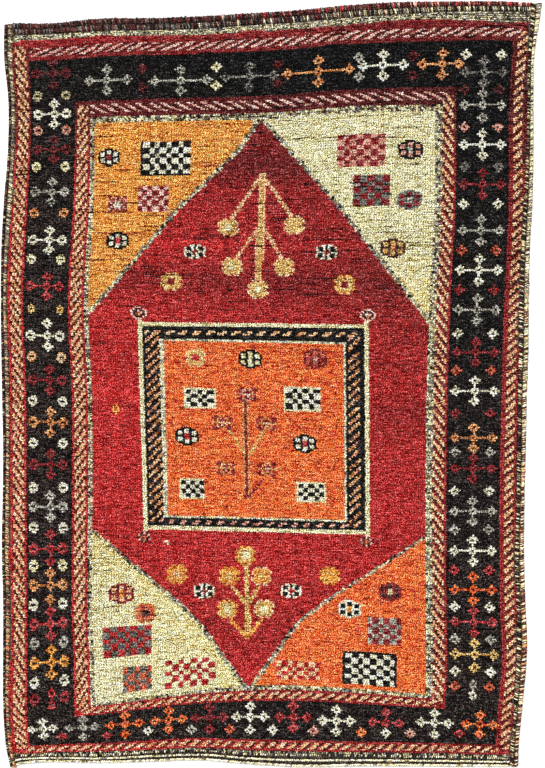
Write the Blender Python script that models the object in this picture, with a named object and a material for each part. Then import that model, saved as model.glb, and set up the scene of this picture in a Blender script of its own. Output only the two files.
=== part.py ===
"""Hand-knotted gabbeh rug with a stepped medallion, lying flat on a floor.

The rug is one thick woven sheet that a weaver finishes on all four sides, so
the model is six flat-bottomed pieces: the knotted pile, an overcast selvedge
down each side, a flat-woven band at each end, and the whipped edge outside the
upper band. Weaving pulls a rug out of square, and the four sides follow that.

X runs across the rug, Y runs up it, Z is up. The origin is the middle of the
underside. Units are metres.
"""

import math

import bmesh
import bpy

# Thickness of each part, measured up from the floor
PILE_HEIGHT = 0.0100
SELVEDGE_HEIGHT = 0.0090
WHIPPED_HEIGHT = 0.0095
TOP_BAND_HEIGHT = 0.0045
BOTTOM_BAND_HEIGHT = 0.0055

# Radius of the upper long edges
PILE_ROUNDING = 0.0025
CORD_ROUNDING = 0.0042
BAND_ROUNDING = 0.0012

GAP = 0.0003             # space left between neighbouring parts
STEP_LENGTH = 0.024      # longest straight run along a curved side
ROUNDING_STEPS = 3

# Down the two long sides: where each selvedge starts and ends, across X
SIDE_COLUMNS = ("y", "left_outer", "left_inner", "right_inner", "right_outer")
SIDE_TABLE = (
    (0.858, -0.601, -0.580, 0.580, 0.608),
    (0.812, -0.600, -0.580, 0.580, 0.601),
    (0.770, -0.601, -0.579, 0.577, 0.594),
    (0.725, -0.600, -0.579, 0.574, 0.589),
    (0.637, -0.591, -0.574, 0.573, 0.588),
    (0.525, -0.592, -0.575, 0.570, 0.588),
    (0.413, -0.601, -0.580, 0.565, 0.586),
    (0.301, -0.607, -0.589, 0.559, 0.580),
    (0.189, -0.608, -0.594, 0.555, 0.578),
    (0.077, -0.607, -0.589, 0.553, 0.577),
    (-0.035, -0.605, -0.586, 0.551, 0.573),
    (-0.147, -0.603, -0.586, 0.550, 0.571),
    (-0.259, -0.604, -0.587, 0.548, 0.568),
    (-0.371, -0.606, -0.587, 0.545, 0.567),
    (-0.483, -0.603, -0.586, 0.547, 0.570),
    (-0.595, -0.603, -0.586, 0.549, 0.574),
    (-0.707, -0.603, -0.588, 0.543, 0.565),
    (-0.807, -0.597, -0.582, 0.536, 0.555),
    (-0.860, -0.586, -0.571, 0.533, 0.554),
)

# Along the two ends: where each band starts and ends, up Y
END_COLUMNS = ("x", "bottom_outer", "bottom_pile", "top_pile", "top_band", "top_outer")
END_TABLE = (
    (-0.604, -0.860, -0.824, 0.764, 0.783, 0.808),
    (-0.585, -0.860, -0.825, 0.767, 0.784, 0.812),
    (-0.560, -0.851, -0.826, 0.770, 0.784, 0.811),
    (-0.496, -0.846, -0.826, 0.772, 0.785, 0.811),
    (-0.384, -0.848, -0.826, 0.781, 0.792, 0.822),
    (-0.272, -0.846, -0.818, 0.783, 0.794, 0.823),
    (-0.160, -0.843, -0.814, 0.784, 0.797, 0.827),
    (-0.048, -0.852, -0.821, 0.792, 0.805, 0.834),
    (0.064, -0.859, -0.822, 0.797, 0.812, 0.841),
    (0.176, -0.857, -0.824, 0.805, 0.823, 0.852),
    (0.288, -0.856, -0.827, 0.818, 0.829, 0.859),
    (0.400, -0.857, -0.828, 0.818, 0.836, 0.860),
    (0.512, -0.857, -0.832, 0.813, 0.837, 0.860),
    (0.606, -0.859, -0.834, 0.810, 0.835, 0.856),
)

# Each part lies between two side columns and two end columns
PARTS = (
    # name, left, right, bottom, top, height, rounding, colour
    ("knotted_pile", "left_inner", "right_inner", "bottom_pile", "top_pile",
     PILE_HEIGHT, PILE_ROUNDING, (0.361, 0.064, 0.045)),
    ("selvedge_left", "left_outer", "left_inner", "bottom_outer", "top_outer",
     SELVEDGE_HEIGHT, CORD_ROUNDING, (0.266, 0.133, 0.080)),
    ("selvedge_right", "right_inner", "right_outer", "bottom_outer", "top_outer",
     SELVEDGE_HEIGHT, CORD_ROUNDING, (0.497, 0.445, 0.301)),
    ("flatweave_top", "left_inner", "right_inner", "top_pile", "top_band",
     TOP_BAND_HEIGHT, BAND_ROUNDING, (0.266, 0.212, 0.147)),
    ("whipped_edge_top", "left_inner", "right_inner", "top_band", "top_outer",
     WHIPPED_HEIGHT, CORD_ROUNDING, (0.082, 0.044, 0.036)),
    ("flatweave_bottom", "left_inner", "right_inner", "bottom_outer", "bottom_pile",
     BOTTOM_BAND_HEIGHT, BAND_ROUNDING, (0.456, 0.376, 0.242)),
)


def read_table(table, names, column, at):
    """Value of a named column at a place along the table, on a smooth curve."""
    rows = sorted(table)
    index = names.index(column)
    places = [row[0] for row in rows]
    values = [row[index] for row in rows]
    last = len(rows) - 1
    slopes = []
    for i in range(last + 1):
        low = max(i - 1, 0)
        high = min(i + 1, last)
        slopes.append((values[high] - values[low]) / (places[high] - places[low]))
    at = min(max(at, places[0]), places[last])
    k = max(i for i in range(last) if places[i] <= at)
    span = places[k + 1] - places[k]
    t = (at - places[k]) / span
    return (
        (2 * t**3 - 3 * t**2 + 1) * values[k]
        + (t**3 - 2 * t**2 + t) * span * slopes[k]
        + (3 * t**2 - 2 * t**3) * values[k + 1]
        + (t**3 - t**2) * span * slopes[k + 1]
    )


def place(u, v, left, right, bottom, top):
    """Point at the fractions u across and v up between four curved sides."""
    x = 0.0
    y = 0.0
    for _ in range(6):
        low = read_table(END_TABLE, END_COLUMNS, bottom, x) + GAP / 2
        high = read_table(END_TABLE, END_COLUMNS, top, x) - GAP / 2
        y = low + (high - low) * v
        start = read_table(SIDE_TABLE, SIDE_COLUMNS, left, y) + GAP / 2
        end = read_table(SIDE_TABLE, SIDE_COLUMNS, right, y) - GAP / 2
        x = start + (end - start) * u
    return x, y


def wool(name, colour):
    """Matt wool of one colour."""
    material = bpy.data.materials.new(name)
    material.use_nodes = True
    shader = material.node_tree.nodes["Principled BSDF"]
    shader.inputs["Base Color"].default_value = (*colour, 1.0)
    shader.inputs["Roughness"].default_value = 0.95
    shader.inputs["Metallic"].default_value = 0.0
    return material


def build_part(name, left, right, bottom, top, height, rounding, colour, group):
    """One flat-bottomed piece: its outline raised to its height, edges rounded."""
    corners = [place(u, v, left, right, bottom, top) for u, v in ((0, 0), (1, 0), (0, 1))]
    across = math.ceil(math.dist(corners[0], corners[1]) / STEP_LENGTH)
    along = math.ceil(math.dist(corners[0], corners[2]) / STEP_LENGTH)

    shape = bmesh.new()
    bmesh.ops.create_grid(shape, x_segments=across, y_segments=along, size=0.5)
    for vert in shape.verts:
        x, y = place(vert.co.x + 0.5, vert.co.y + 0.5, left, right, bottom, top)
        vert.co = (x, y, 0.0)
    if min(across, along) > 4:
        bmesh.ops.dissolve_faces(shape, faces=shape.faces)

    raised = bmesh.ops.extrude_face_region(shape, geom=shape.faces[:])
    top_verts = [item for item in raised["geom"] if isinstance(item, bmesh.types.BMVert)]
    bmesh.ops.translate(shape, verts=top_verts, vec=(0.0, 0.0, height))
    bmesh.ops.recalc_face_normals(shape, faces=shape.faces)

    def is_rim(edge):
        if min(vert.co.z for vert in edge.verts) < height / 2:
            return False
        return any(abs(face.normal.z) < 0.5 for face in edge.link_faces)

    bmesh.ops.bevel(
        shape,
        geom=[edge for edge in shape.edges if is_rim(edge)],
        offset=rounding,
        segments=ROUNDING_STEPS,
        profile=0.5,
        affect="EDGES",
        material=-1,
    )

    mesh = bpy.data.meshes.new(name)
    shape.to_mesh(mesh)
    shape.free()
    mesh.materials.append(wool(name + "_wool", colour))
    mesh.shade_smooth()
    mesh.set_sharp_from_angle(angle=math.radians(50))
    piece = bpy.data.objects.new(name, mesh)
    group.objects.link(piece)
    return piece


for item in list(bpy.data.objects):
    bpy.data.objects.remove(item, do_unlink=True)

rug = bpy.data.collections.new("gabbeh_rug")
bpy.context.scene.collection.children.link(rug)

for row in PARTS:
    build_part(*row, rug)
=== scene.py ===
# %% [markdown]
# # A hand-knotted gabbeh rug
#
# A gabbeh is a coarse wool rug knotted by hand on a woollen ground. This one
# has a stepped red medallion with a square at its heart, a black border of
# four-flower crosses between two striped guards, overcast sides and woven
# ends. The script dresses the plain solids of the rug: it draws the weaver's
# chart knot by knot, stands a tuft of cut wool on every knot, and winds yarn
# round the sides and the ends.

import math

import bmesh
import bpy
import numpy as np
from mathutils import Matrix


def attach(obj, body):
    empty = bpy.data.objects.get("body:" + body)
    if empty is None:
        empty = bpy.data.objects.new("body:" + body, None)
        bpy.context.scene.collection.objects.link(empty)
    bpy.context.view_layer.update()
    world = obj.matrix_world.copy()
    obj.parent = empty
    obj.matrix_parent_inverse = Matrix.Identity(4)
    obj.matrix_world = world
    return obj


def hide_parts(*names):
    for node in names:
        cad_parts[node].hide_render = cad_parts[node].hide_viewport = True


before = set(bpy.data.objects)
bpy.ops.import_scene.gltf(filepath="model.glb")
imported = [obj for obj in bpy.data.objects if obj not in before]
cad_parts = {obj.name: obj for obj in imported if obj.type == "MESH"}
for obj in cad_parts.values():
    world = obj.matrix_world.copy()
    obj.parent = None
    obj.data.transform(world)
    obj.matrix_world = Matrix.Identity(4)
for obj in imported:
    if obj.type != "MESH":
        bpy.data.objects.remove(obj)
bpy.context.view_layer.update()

# %% [markdown]
# ## The outline
#
# Weaving and washing pull a rug out of square, so its sides and ends wander by
# a few centimetres. Each side is a short table of places, and a smooth curve
# runs through them. The tables are those of the solids: down the rug, where
# each overcast side starts and ends, and across the rug, where each woven end
# starts and ends.

# %% Sides and ends, in metres
SIDE_COLUMNS = ("y", "left_outer", "left_inner", "right_inner", "right_outer")
SIDE_TABLE = (
    (0.858, -0.601, -0.580, 0.580, 0.608),
    (0.812, -0.600, -0.580, 0.580, 0.601),
    (0.770, -0.601, -0.579, 0.577, 0.594),
    (0.725, -0.600, -0.579, 0.574, 0.589),
    (0.637, -0.591, -0.574, 0.573, 0.588),
    (0.525, -0.592, -0.575, 0.570, 0.588),
    (0.413, -0.601, -0.580, 0.565, 0.586),
    (0.301, -0.607, -0.589, 0.559, 0.580),
    (0.189, -0.608, -0.594, 0.555, 0.578),
    (0.077, -0.607, -0.589, 0.553, 0.577),
    (-0.035, -0.605, -0.586, 0.551, 0.573),
    (-0.147, -0.603, -0.586, 0.550, 0.571),
    (-0.259, -0.604, -0.587, 0.548, 0.568),
    (-0.371, -0.606, -0.587, 0.545, 0.567),
    (-0.483, -0.603, -0.586, 0.547, 0.570),
    (-0.595, -0.603, -0.586, 0.549, 0.574),
    (-0.707, -0.603, -0.588, 0.543, 0.565),
    (-0.807, -0.597, -0.582, 0.536, 0.555),
    (-0.860, -0.586, -0.571, 0.533, 0.554),
)
END_COLUMNS = ("x", "bottom_outer", "bottom_pile", "top_pile", "top_band", "top_outer")
END_TABLE = (
    (-0.604, -0.860, -0.824, 0.764, 0.783, 0.808),
    (-0.585, -0.860, -0.825, 0.767, 0.784, 0.812),
    (-0.560, -0.851, -0.826, 0.770, 0.784, 0.811),
    (-0.496, -0.846, -0.826, 0.772, 0.785, 0.811),
    (-0.384, -0.848, -0.826, 0.781, 0.792, 0.822),
    (-0.272, -0.846, -0.818, 0.783, 0.794, 0.823),
    (-0.160, -0.843, -0.814, 0.784, 0.797, 0.827),
    (-0.048, -0.852, -0.821, 0.792, 0.805, 0.834),
    (0.064, -0.859, -0.822, 0.797, 0.812, 0.841),
    (0.176, -0.857, -0.824, 0.805, 0.823, 0.852),
    (0.288, -0.856, -0.827, 0.818, 0.829, 0.859),
    (0.400, -0.857, -0.828, 0.818, 0.836, 0.860),
    (0.512, -0.857, -0.832, 0.813, 0.837, 0.860),
    (0.606, -0.859, -0.834, 0.810, 0.835, 0.856),
)


def curve_through(places, values, at):
    """Smooth curve through rising places, read at many points at once."""
    places, values, at = (np.asarray(item, float) for item in (places, values, at))
    slopes = np.empty_like(values)
    slopes[1:-1] = (values[2:] - values[:-2]) / (places[2:] - places[:-2])
    slopes[0] = (values[1] - values[0]) / (places[1] - places[0])
    slopes[-1] = (values[-1] - values[-2]) / (places[-1] - places[-2])
    k = np.clip(np.searchsorted(places, at, side="right") - 1, 0, len(places) - 2)
    span = places[k + 1] - places[k]
    t = np.clip((at - places[k]) / span, 0.0, 1.0)
    return (
        (2 * t**3 - 3 * t**2 + 1) * values[k]
        + (t**3 - 2 * t**2 + t) * span * slopes[k]
        + (3 * t**2 - 2 * t**3) * values[k + 1]
        + (t**3 - t**2) * span * slopes[k + 1]
    )


def column_of(table, names, name, at):
    rows = np.array(sorted(table))
    return curve_through(rows[:, 0], rows[:, names.index(name)], at)


def side_x(name, y):
    return column_of(SIDE_TABLE, SIDE_COLUMNS, name, y)


def end_y(name, x):
    return column_of(END_TABLE, END_COLUMNS, name, x)


def between(u, v, left, right, bottom, top):
    """Points at the fractions u across and v up between four curved sides."""
    u, v = np.broadcast_arrays(np.asarray(u, float), np.asarray(v, float))
    x = np.zeros(u.shape)
    for _ in range(6):
        low = end_y(bottom, x)
        y = low + (end_y(top, x) - low) * v
        start = side_x(left, y)
        x = start + (side_x(right, y) - start) * u
    return x, y


pile_width = side_x("right_inner", 0.0) - side_x("left_inner", 0.0)
print("the pile is", round(float(pile_width), 3), "m wide at its middle")

# %% [markdown]
# ## The grid of knots
#
# A weaver counts a design in knots, so the chart's unit is one knot: 220 from
# side to side. Rows are beaten down closer than the knots are wide. The lines
# of the design wander with the cloth. Two tables, read in half pixels,
# say where some columns and rows of the chart lie in the picture, and the
# picture's scale puts them on the floor. The pile carries every knot between.
# Over the square the rows also climb a little towards the right.

# %% Chart lines, read in pixels of the picture
SCALE = 0.00224  # metres for each pixel of the picture
MIDDLE = (271.5, 384.5)  # the pixel over the middle of the rug
KNOT_ROW = 0.90  # height of a row, in knot widths
CHART_COLUMNS = (-3.7, 36, 58, 156, 181, 224)  # side, field, square, square, field, side
COLUMN_TABLE = (
    # chart row, then how far across the picture each chart column lies
    (-11, 7.0, 96.0, 142.0, 375.0, 438.0, 544.0),
    (4, 3.5, 95.5, 141.5, 375.0, 437.5, 540.5),
    (34, 8.0, 94.5, 141.0, 374.0, 436.0, 534.5),
    (74, 3.0, 93.5, 140.0, 372.0, 435.0, 534.0),
    (117, -1.0, 88.0, 139.5, 369.0, 429.5, 530.0),
    (161, 1.5, 92.0, 142.0, 369.5, 426.5, 527.0),
    (204, 2.0, 92.5, 145.0, 370.0, 425.5, 525.0),
    (248, 3.0, 91.5, 146.5, 370.0, 425.5, 526.0),
    (269, 2.5, 94.0, 147.0, 370.0, 426.0, 528.0),
    (291, 2.0, 95.5, 147.0, 369.5, 425.0, 523.0),
    (321, 9.0, 97.0, 147.0, 369.0, 424.0, 519.0),
)
CHART_ROWS = (-8.3, 37, 128, 218, 284, 318)  # end, field, square, square, field, end
ROW_TABLE = (
    # chart column, then how far down the picture each chart row lies
    (-2, 23.0, 126.0, 318.0, 531.0, 712.0, 764.0),
    (17, 22.5, 125.0, 320.0, 531.0, 708.0, 762.5),
    (44, 17.0, 122.5, 322.5, 531.0, 700.0, 763.0),
    (78, 15.5, 120.5, 325.5, 532.5, 689.5, 761.5),
    (113, 11.0, 118.5, 328.0, 534.5, 684.0, 766.5),
    (147, 4.0, 112.5, 331.0, 536.5, 687.0, 767.5),
    (182, 0.5, 110.5, 332.5, 537.0, 693.0, 767.0),
    (208, 0.0, 110.0, 333.0, 537.0, 696.0, 768.0),
    (230, 5.0, 112.0, 333.0, 537.0, 698.0, 769.0),
)


def on_lines(lines, table, along, at):
    """Place of a chart line between those of a table, at a point along it."""
    rows = np.array(table)
    lines = np.array(lines, float)
    places = [curve_through(rows[:, 0], rows[:, i + 1], along) for i in range(len(lines))]
    places = np.stack(places, axis=-1)
    k = np.clip(np.searchsorted(lines, at) - 1, 0, len(lines) - 2)
    low = np.take_along_axis(places, k[..., None], -1)[..., 0]
    high = np.take_along_axis(places, k[..., None] + 1, -1)[..., 0]
    return low + (high - low) * (at - lines[k]) / (lines[k + 1] - lines[k])


def on_floor(column, row):
    """x and y of a place on the chart."""
    across = on_lines(CHART_COLUMNS, COLUMN_TABLE, row, column)
    down = on_lines(CHART_ROWS, ROW_TABLE, column, row)
    return (across - MIDDLE[0]) * SCALE, (MIDDLE[1] - down) * SCALE


COLUMN, ROW = np.meshgrid(np.arange(-2.5, 224.0), np.arange(-3.0, 316.0, KNOT_ROW))
KNOT_X, KNOT_Y = on_floor(COLUMN, ROW)

CLIMB = ((58.0, 0.0), (156.0, 0.0118), (178.0, 0.0))  # chart column, metres upwards
CLIMB_ROW, CLIMB_REACH = 129.5, 13.0
near = np.clip(1 - np.abs(ROW - CLIMB_ROW) / CLIMB_REACH, 0.0, 1.0)
KNOT_Y += np.interp(COLUMN, *np.array(CLIMB).T) * near * near * (3 - 2 * near)
print(COLUMN.shape[1], "knots by", COLUMN.shape[0], "rows before the edges are trimmed")

# %% [markdown]
# ## The wools
#
# Gabbeh wool is dyed in small lots with plants: madder reds, weld yellows and
# the two mixed for orange. Cream and black are the sheep's own colours. Each
# wool is written as a screen colour. Pale fibres, partly a painted highlight,
# lighten a tuft later on, so the reds and the dark wools are set deeper here
# than they look in the end.

# %% Wools, as screen colours
WOOLS = {
    "red": (198, 22, 14),
    "guard_red": (172, 18, 18),
    "rose": (178, 56, 58),
    "wine": (140, 20, 30),
    "gold": (247, 157, 58),
    "straw": (226, 178, 104),
    "tan": (216, 142, 84),
    "orange": (250, 112, 10),
    "rust": (202, 96, 58),
    "peach": (252, 186, 138),
    "blush": (246, 186, 168),
    "pink": (214, 150, 130),
    "cream": (255, 238, 178),
    "butter": (255, 226, 150),
    "white": (255, 246, 208),
    "grey": (168, 164, 150),
    "ash": (112, 108, 100),
    "olive": (168, 156, 116),
    "brown": (92, 58, 46),
    "umber": (84, 24, 20),
    "charcoal": (46, 32, 24),
    "black": (26, 20, 18),
}
WOOL_NUMBER = {name: number for number, name in enumerate(WOOLS)}


def linear(screen):
    """Screen colour, 0 to 255, to the linear light that shaders work in."""
    value = np.asarray(screen, float) / 255.0
    return np.where(value < 0.04045, value / 12.92, ((value + 0.055) / 1.055) ** 2.4)


WOOL_COLOURS = np.array([linear(colour) for colour in WOOLS.values()])
print(len(WOOLS), "wools")

# %% [markdown]
# ## Drawing the chart
#
# The chart holds one wool for each knot. It is drawn as a weaver plans it:
# bands and fields first, then the small repeats laid over them. Each repeat is
# counted out in knots, with a letter for each wool.

# %% The chart and its drawing tools
dice = np.random.default_rng(1947)
LINE_REACH = 0.4  # how far a line runs past its ends, in knots
RIM = 0.8  # width of the rim of a checked block, in knots


def knot_steps(column, row):
    """How many knots and rows each place of the chart is from one of them."""
    i = np.round(COLUMN - COLUMN[0, 0]) - round(column - COLUMN[0, 0])
    j = np.round((ROW - ROW[0, 0]) / KNOT_ROW) - round((row - ROW[0, 0]) / KNOT_ROW)
    return i, j


def stripe(row, slope, period, thickness, across):
    """Slanting stripes: slope is rows for each column, or the reverse if across."""
    phase = COLUMN - slope * row if across else row - slope * COLUMN
    return phase % period < thickness


class Chart:
    """One wool number for each knot, and ways to lay wool on it."""

    def __init__(self, ground):
        self.wool = np.full(COLUMN.shape, WOOL_NUMBER[ground])

    def lay(self, where, wool):
        self.wool[where] = WOOL_NUMBER[wool]

    def holds(self, wool):
        return self.wool == WOOL_NUMBER[wool]

    def mix(self, where, **shares):
        """Knots of several wools thrown together, as in a speckled line."""
        names = list(shares)
        odds = np.array([shares[name] for name in names], float)
        drawn = dice.choice(len(names), size=COLUMN.shape, p=odds / odds.sum())
        for index, name in enumerate(names):
            self.lay(where & (drawn == index), name)

    def block(self, left, right, top, bottom):
        return (COLUMN >= left) & (COLUMN < right) & (ROW >= top) & (ROW < bottom)

    def line(self, start, end, width, wool):
        """A line of knots from one (column, row) to another."""
        (c0, r0), (c1, r1) = start, end
        length = math.hypot(c1 - c0, r1 - r0)
        along = ((COLUMN - c0) * (c1 - c0) + (ROW - r0) * (r1 - r0)) / length
        off = np.abs((COLUMN - c0) * (r1 - r0) - (ROW - r0) * (c1 - c0)) / length
        on_line = (along > -LINE_REACH) & (along < length + LINE_REACH) & (off < width / 2)
        self.lay(on_line, wool)

    def run(self, column, row, across, down, wool):
        """A straight arm one knot thick, reaching both ways from one knot."""
        i, j = knot_steps(column, row)
        self.lay((np.abs(i) <= across) & (np.abs(j) <= down), wool)

    def stamp(self, repeat, column, row, **wools):
        """Lays a small repeat with its middle on one knot."""
        tall, wide = len(repeat), len(repeat[0])
        i, j = knot_steps(column, row)
        i, j = (i + wide // 2).astype(int), (j + tall // 2).astype(int)
        inside = (i >= 0) & (i < wide) & (j >= 0) & (j < tall)
        letters = np.array([list(line) for line in repeat])
        found = letters[np.clip(j, 0, tall - 1), np.clip(i, 0, wide - 1)]
        for letter, wool in wools.items():
            self.lay(inside & (found == letter), wool)

    def checks(self, left, right, top, bottom, across, down, first, second, rim=None):
        """A field of small squares, with a rim of knots round it."""
        if rim:
            self.lay(self.block(left - RIM, right + RIM, top - RIM, bottom + RIM), rim)
        i = np.floor((COLUMN - left) / (right - left) * across)
        j = np.floor((ROW - top) / (bottom - top) * down)
        inside = self.block(left, right, top, bottom)
        self.lay(inside & ((i + j) % 2 == 0), first)
        self.lay(inside & ((i + j) % 2 == 1), second)


chart = Chart("guard_red")

# %% [markdown]
# ## Guards and border
#
# Two red guard stripes with pale slants hold the black border between them. A
# thin speckled line of cream, grey and black closes the border on its inner
# side. The slants lean one way up one side and the other way up the next, as
# they do when each side is woven by eye. They are listed here and laid later,
# stub by stub, since the two stubs of a knot stand half a row apart and a slant
# that climbs by half rows looks smoother.

# %% Guards, border ground and speckled line
GUARDS = (
    # left, right, top, bottom of the band, its red margin, then the slope,
    # period and width of the slants, whether they run across, their wool
    (0.0, 7.2, 2.0, 309.0, 1.0, 1.5, 4.6, 2.6, False, "peach"),
    (27.5, 33.6, 29.0, 287.0, 0.9, -1.4, 4.4, 2.5, False, "peach"),
    (183.6, 189.8, 31.0, 288.0, 0.9, 1.3, 4.6, 2.2, False, "peach"),
    (213.3, 220.8, 4.0, 309.0, 1.3, -0.9, 3.9, 1.9, False, "peach"),
    (7.2, 216.0, 2.7, 6.4, 0.0, -2.1, 5.3, 2.4, True, "blush"),
    (33.6, 186.0, 29.0, 32.4, 0.0, 1.9, 5.5, 2.2, True, "blush"),
    (30.0, 186.0, 286.9, 289.9, 0.0, -1.5, 5.0, 2.4, True, "peach"),
    (4.0, 214.0, 307.7, 311.0, 0.0, -1.3, 4.8, 2.3, True, "peach"),
)
FIELD_TOP, FIELD_BOTTOM = 36.9, 284.4
FIELD = chart.block(36.2, 181.2, FIELD_TOP, FIELD_BOTTOM)
SPECKLED_LINE = chart.block(33.6, 183.6, 34.4, 286.6)
LAST_ROWS = chart.block(-4.0, 226.0, 311.9, 320.0)

chart.lay(chart.block(7.2, 213.3, 7.9, 306.8), "charcoal")
chart.lay(chart.block(27.5, 189.8, 27.2, 290.7), "guard_red")
chart.mix(SPECKLED_LINE, cream=0.30, grey=0.16, ash=0.14, olive=0.24, brown=0.12, black=0.04)
chart.mix(LAST_ROWS, cream=0.30, ash=0.30, black=0.40)
print(len(GUARDS), "guard bands")

# %% [markdown]
# ## Flowers of the border
#
# The border repeats one device: a cross of four small flowers round a fifth,
# each a diamond with a dark eye. Those at the sides stand on arms one knot
# thick. Pairs of single flowers fill the gaps. The weaver changed the wool at
# every repeat, so each cross and pair is a row in a short table.

# %% Crosses and pairs
FLOWER = (
    "..w..",
    ".www.",
    "wwoww",
    ".www.",
    "..w..",
)
BLOOM = (
    ".ww.",
    "wwww",
    "woow",
    "wwww",
    ".ww.",
)
BUD = (
    ".w.",
    "www",
    "wow",
    "www",
    ".w.",
)


def flower(repeat, column, row, wool):
    """A small flower with a dark eye."""
    chart.stamp(repeat, column, row, w=wool, o="charcoal")


def cross(column, row, wool, reach=6.5, rise=4.6, sides=FLOWER):
    """Four flowers round a smaller one, those at the sides on thin arms."""
    chart.run(column, row, reach - 1, 0, wool)
    flower(BUD, column, row, wool)
    for side in (-1, 1):
        flower(sides, column + side * reach, row, wool)
        flower(FLOWER, column, row + side * rise, wool)


LEFT_MIDDLE, LEFT_PAIR = 17.0, (10.5, 23.7)
LEFT_CROSSES = (
    (14.5, "wine"), (32.3, "white"), (48.0, "wine"), (68.3, "grey"), (90.3, "white"),
    (112.5, "rose"), (134.3, "white"), (153.5, "wine"), (171.5, "tan"),
    (189.5, "wine"), (207.6, "grey"), (224.3, "rose"), (238.6, "tan"),
    (252.7, "rose"), (267.0, "gold"),
)
LEFT_PAIRS = (
    (24.0, "olive"), (39.5, "pink"), (56.5, "cream"), (77.8, "tan"), (100.0, "cream"),
    (123.4, "straw"), (143.5, "peach"), (163.0, "white"), (180.7, "white"),
    (199.2, "white"), (216.5, "white"), (231.0, "cream"), (245.5, "white"),
    (259.7, "grey"), (274.4, "white"), (280.3, "wine"),
)
RIGHT_MIDDLE, RIGHT_PAIR = 201.5, (193.7, 208.7)
RIGHT_CROSSES = (
    (21.5, "ash"), (35.2, "grey"), (50.8, "white"), (67.0, "wine"), (86.3, "grey"),
    (102.5, "white"), (118.3, "grey"), (136.5, "wine"), (153.6, "white"),
    (174.0, "tan"), (188.0, "wine"), (207.0, "grey"), (223.6, "white"),
    (239.6, "orange"), (253.4, "rose"), (267.4, "straw"),
)
RIGHT_PAIRS = (
    (14.5, "white"), (28.3, "wine"), (43.7, "pink"), (60.0, "ash"), (75.5, "white"),
    (94.0, "rust"), (110.0, "rose"), (128.2, "white"), (145.0, "rust"),
    (163.8, "wine"), (180.5, "grey"), (197.7, "white"), (215.2, "grey"),
    (232.0, "rose"), (247.0, "white"), (260.8, "grey"), (273.8, "white"),
    (280.6, "rust"),
)
TOP_CROSSES = (
    # column, row, wool, reach of the arms
    (42.0, 19.0, "grey", 9.0), (74.3, 19.3, "grey", 11.0), (103.3, 18.8, "ash", 9.8),
    (132.5, 18.2, "tan", 12.5), (159.7, 17.8, "white", 8.0), (183.3, 17.8, "tan", 7.6),
)
TOP_RISE = 4.5  # from the middle of a cross to its upper and lower flowers
TOP_PAIR_ROWS = (14.3, 22.6)
TOP_PAIRS = (
    (58.3, "wine"), (89.0, "cream"), (116.0, "wine"), (149.0, "grey"), (171.5, "wine"),
)
BOTTOM_CROSSES = (
    # column, row, wool, reach of the arms
    (13.2, 297.0, "white", 4.4), (30.4, 298.0, "grey", 5.6), (48.7, 298.0, "orange", 6.0),
    (67.4, 297.5, "orange", 6.0), (85.3, 298.0, "wine", 6.0), (103.7, 298.0, "white", 6.0),
    (122.3, 297.5, "rose", 6.0), (142.0, 298.2, "white", 6.0), (163.5, 298.5, "rose", 6.0),
    (186.0, 298.0, "white", 6.0), (205.6, 297.6, "orange", 5.6),
)
BOTTOM_FLOWERS = (
    (21.0, 302.4, "rose"), (40.5, 302.6, "rose"), (58.5, 302.4, "white"),
    (77.0, 303.0, "grey"), (94.7, 303.0, "rust"), (113.5, 303.0, "white"),
    (131.7, 303.0, "pink"), (152.2, 303.4, "orange"), (163.0, 302.6, "white"),
    (174.7, 303.4, "pink"), (196.6, 302.5, "rose"),
)

for row, wool in LEFT_CROSSES:
    cross(LEFT_MIDDLE, row, wool, sides=BLOOM)
for row, wool in RIGHT_CROSSES:
    cross(RIGHT_MIDDLE, row, wool, reach=7.6)
for row, wool in LEFT_PAIRS:
    for column in LEFT_PAIR:
        flower(BUD if wool == "straw" else BLOOM, column, row, wool)
for row, wool in RIGHT_PAIRS:
    for column in RIGHT_PAIR:
        flower(FLOWER, column, row, wool)
for column, row, wool, reach in TOP_CROSSES:
    cross(column, row, wool, reach, TOP_RISE)
for column, wool in TOP_PAIRS:
    for row in TOP_PAIR_ROWS:
        flower(FLOWER, column, row, wool)
for column, row, wool, reach in BOTTOM_CROSSES:
    cross(column, row, wool, reach)
for column, row, wool in BOTTOM_FLOWERS:
    flower(FLOWER, column, row, wool)
for row in (278.4, 282.8):
    flower(BUD, LEFT_MIDDLE, row, "rose")
flower(BUD, RIGHT_MIDDLE, 279.6, "grey")
flower(BUD, RIGHT_MIDDLE, 284.2, "white")
crosses = (*LEFT_CROSSES, *RIGHT_CROSSES, *TOP_CROSSES, *BOTTOM_CROSSES)
print(len(crosses), "crosses")

# %% [markdown]
# ## Corner fields and medallion
#
# The medallion climbs from corner to corner in single knots, so its edge is a
# stair. A table gives its left and right edge by row. A thin speckled line
# parts it from the four corner fields: gold, two of cream, and orange. The
# cream drifts to a warmer butter low in the upper field, and towards the
# medallion in the lower one.

# %% Fields
MEDALLION = (
    # chart row, left edge, right edge
    (37.0, 108.0, 109.0), (50.0, 99.5, 120.0), (75.0, 75.0, 141.5), (124.0, 36.0, 181.5),
    (217.5, 36.0, 181.5), (244.0, 68.0, 140.5), (256.0, 81.0, 125.0), (285.0, 101.0, 104.0),
)
edge_rows, edge_left, edge_right = np.array(MEDALLION).T
LEFT_EDGE = np.interp(ROW, edge_rows, edge_left)
RIGHT_EDGE = np.interp(ROW, edge_rows, edge_right)
upright = (ROW > 124.0) & (ROW < 217.5)
LINE_HALF = np.where(upright, 0.0, 1.15)  # half the width of the speckled line
MIDDLE_COLUMN, MIDDLE_ROW = 105.0, 170.0
WARM_START, WARM_LENGTH, WARM_MOST = 92.0, 30.0, 0.9  # rows, rows, share of the knots
WARM_REACH, WARM_STRENGTH = 14.0, 1.2  # how fast the warmth fades from the medallion

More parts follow.
